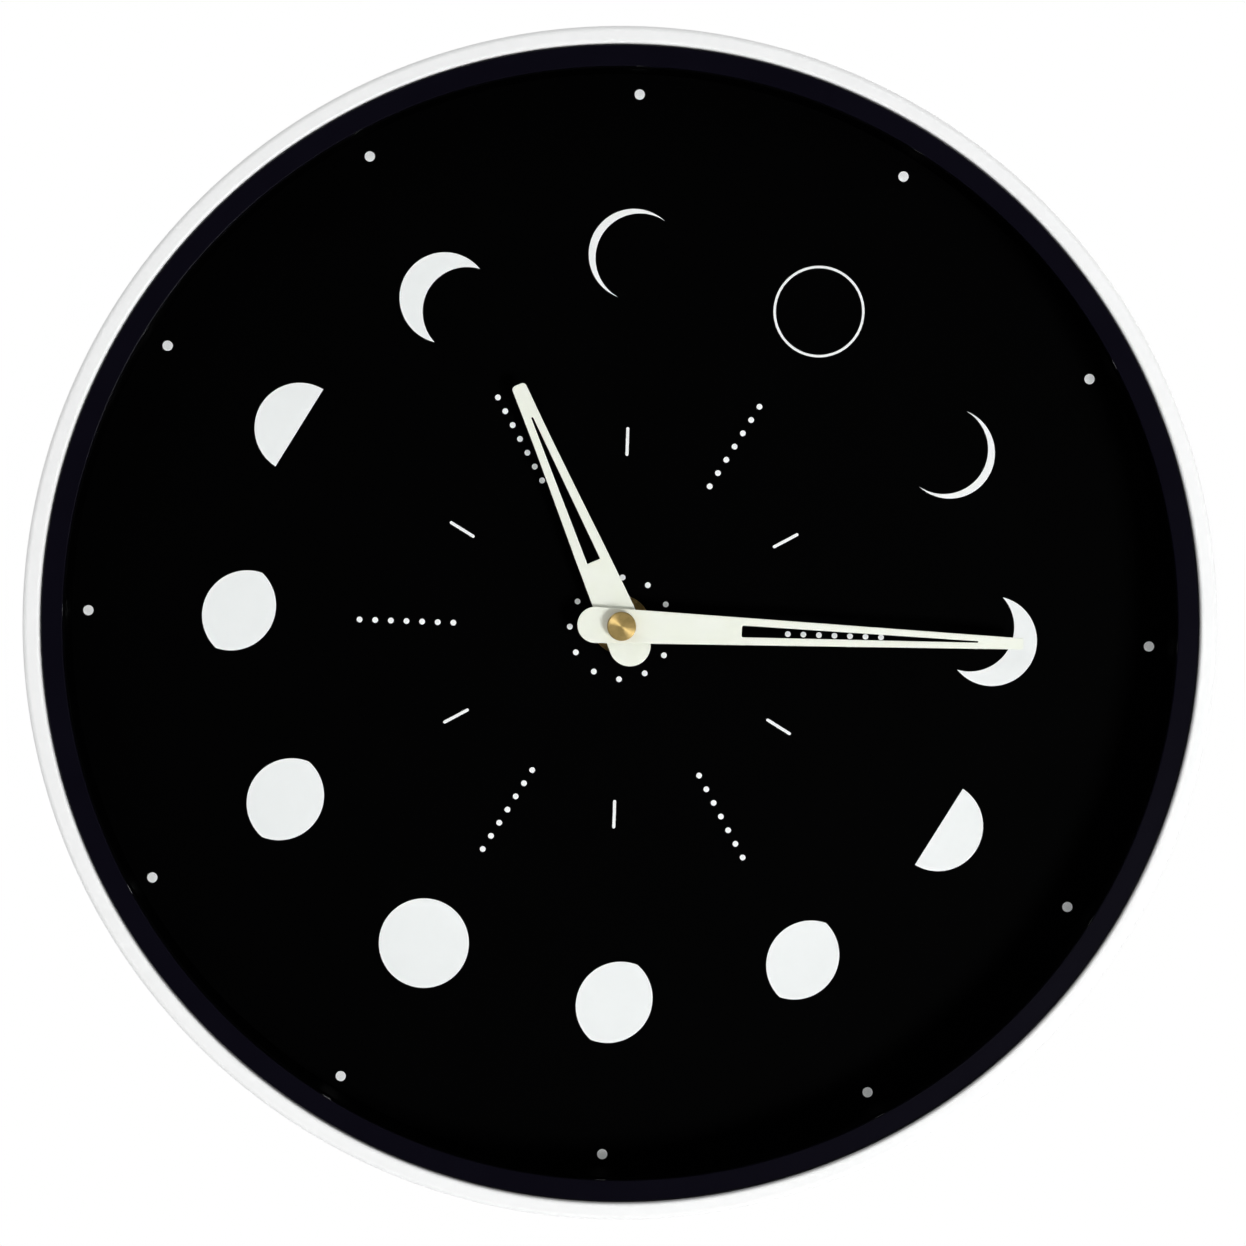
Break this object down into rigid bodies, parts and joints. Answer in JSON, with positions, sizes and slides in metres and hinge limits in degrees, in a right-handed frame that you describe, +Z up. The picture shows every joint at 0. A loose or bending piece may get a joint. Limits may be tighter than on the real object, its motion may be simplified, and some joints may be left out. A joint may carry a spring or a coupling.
{
  "type": "wall clock",
  "caption": "Round battery wall clock, white frame and black dial, with moon phases in place of hour numbers, two slotted hands and an open-backed quartz movement.",
  "frame": {"origin": "on the hands' axis, at the wall's surface, which the rear pads touch", "axes": "+Z up to 12 o'clock, -Y out of the dial towards the room, +Y into the wall, +X to the right as seen from the front"},
  "size_m": [0.2996, 0.042, 0.2996],
  "materials": {
    "white_shell": "satin white moulding",
    "black_ring": "satin blue-black moulding",
    "clear_glass": "clear flat glass",
    "dial": "flat black plate with pale printed figures",
    "dark_moulding": "fine grained black moulding",
    "zinc_steel": "bright zinc plating",
    "rubber": "soft black rubber",
    "brass": "turned brass",
    "hand_ivory": "ivory paint with pale luminous tint",
    "movement_black": "matt black moulding",
    "gear_white": "natural acetal",
    "copper_wire": "enamelled copper wire",
    "magnet_grey": "grey sintered magnet and iron sheet",
    "board": "brown laminate",
    "chip": "black potting resin",
    "cell_jacket": "plain blue jacket"
  },
  "bodies": {
    "case": {"front_frame": "white_shell", "inner_bezel": "black_ring", "glass_lens": "clear_glass", "spacer_ring": "black_ring", "dial": "dial", "back_cover": "dark_moulding", "hanger_plate": "zinc_steel", "hanger_screw_1": "zinc_steel", "hanger_screw_2": "zinc_steel", "case_screw_1": "zinc_steel", "case_screw_2": "zinc_steel", "case_screw_3": "zinc_steel", "case_screw_4": "zinc_steel", "case_screw_5": "zinc_steel", "case_screw_6": "zinc_steel", "wall_pad_1": "rubber", "wall_pad_2": "rubber", "wall_pad_3": "rubber", "rubber_washer": "rubber", "brass_washer": "brass", "hex_nut": "brass", "threaded_bushing": "brass", "movement_front_case": "movement_black", "movement_rear_case": "movement_black", "mid_plate": "gear_white", "circuit_board": "board", "ic_blob": "chip", "quartz_crystal": "zinc_steel", "coil_core": "magnet_grey", "coil_bobbin": "gear_white", "coil_winding": "copper_wire", "stator": "magnet_grey", "battery_contact_positive": "zinc_steel", "battery_contact_negative": "zinc_steel"},
    "minute_group": {"minute_hand": "hand_ivory", "cap_nut": "brass", "minute_arbor": "brass"},
    "hour_group": {"hour_hand": "hand_ivory", "hour_wheel": "gear_white"},
    "motion_group": {"motion_wheel": "gear_white"},
    "knob_group": {"set_knob": "movement_black"},
    "intermediate_group": {"intermediate_wheel": "gear_white"},
    "rotor_group": {"rotor_pinion": "gear_white", "rotor_magnet": "magnet_grey"},
    "second_group": {"second_wheel": "gear_white"},
    "third_group": {"third_wheel": "gear_white"},
    "centre_group": {"centre_wheel": "gear_white"},
    "battery_group": {"battery": "cell_jacket"}
  },
  "joints": [
    {"name": "minute_turn", "type": "hinge", "parent": "case", "child": "minute_group", "pos_m": [0, -0.0304, 0], "axis": [0, 1, 0], "continuous": true},
    {"name": "hour_turn", "type": "hinge", "parent": "case", "child": "hour_group", "pos_m": [0, -0.0288, 0], "axis": [0, 1, 0], "continuous": true},
    {"name": "motion_turn", "type": "hinge", "parent": "case", "child": "motion_group", "pos_m": [0.00752, -0.013, -0.00274], "axis": [0, 1, 0], "continuous": true},
    {"name": "knob_turn", "type": "hinge", "parent": "case", "child": "knob_group", "pos_m": [0.01524, -0.0016, -0.00481], "axis": [0, 1, 0], "continuous": true},
    {"name": "intermediate_turn", "type": "hinge", "parent": "case", "child": "intermediate_group", "pos_m": [-0.00938, -0.0068, 0.00542], "axis": [0, 1, 0], "continuous": true},
    {"name": "rotor_turn", "type": "hinge", "parent": "case", "child": "rotor_group", "pos_m": [-0.01556, -0.0082, 0.00913], "axis": [0, 1, 0], "continuous": true},
    {"name": "second_turn", "type": "hinge", "parent": "case", "child": "second_group", "pos_m": [0, -0.0057, 0], "axis": [0, 1, 0], "continuous": true},
    {"name": "third_turn", "type": "hinge", "parent": "case", "child": "third_group", "pos_m": [0.00764, -0.0079, 0.00764], "axis": [0, 1, 0], "continuous": true},
    {"name": "centre_turn", "type": "hinge", "parent": "case", "child": "centre_group", "pos_m": [0, -0.0091, 0], "axis": [0, 1, 0], "continuous": true},
    {"name": "battery_slide", "type": "slide", "parent": "case", "child": "battery_group", "axis": [0, 1, 0], "range_m": [0, 0.02]}
  ],
  "couplings": [
    {"joint": "motion_turn", "follows": "minute_turn", "ratio": -0.33333},
    {"joint": "hour_turn", "follows": "minute_turn", "ratio": 0.083333},
    {"joint": "knob_turn", "follows": "minute_turn", "ratio": 1},
    {"joint": "rotor_turn", "follows": "intermediate_turn", "ratio": -5},
    {"joint": "second_turn", "follows": "intermediate_turn", "ratio": -0.16667},
    {"joint": "third_turn", "follows": "intermediate_turn", "ratio": 0.022222},
    {"joint": "centre_turn", "follows": "intermediate_turn", "ratio": -0.0027778}
  ]
}
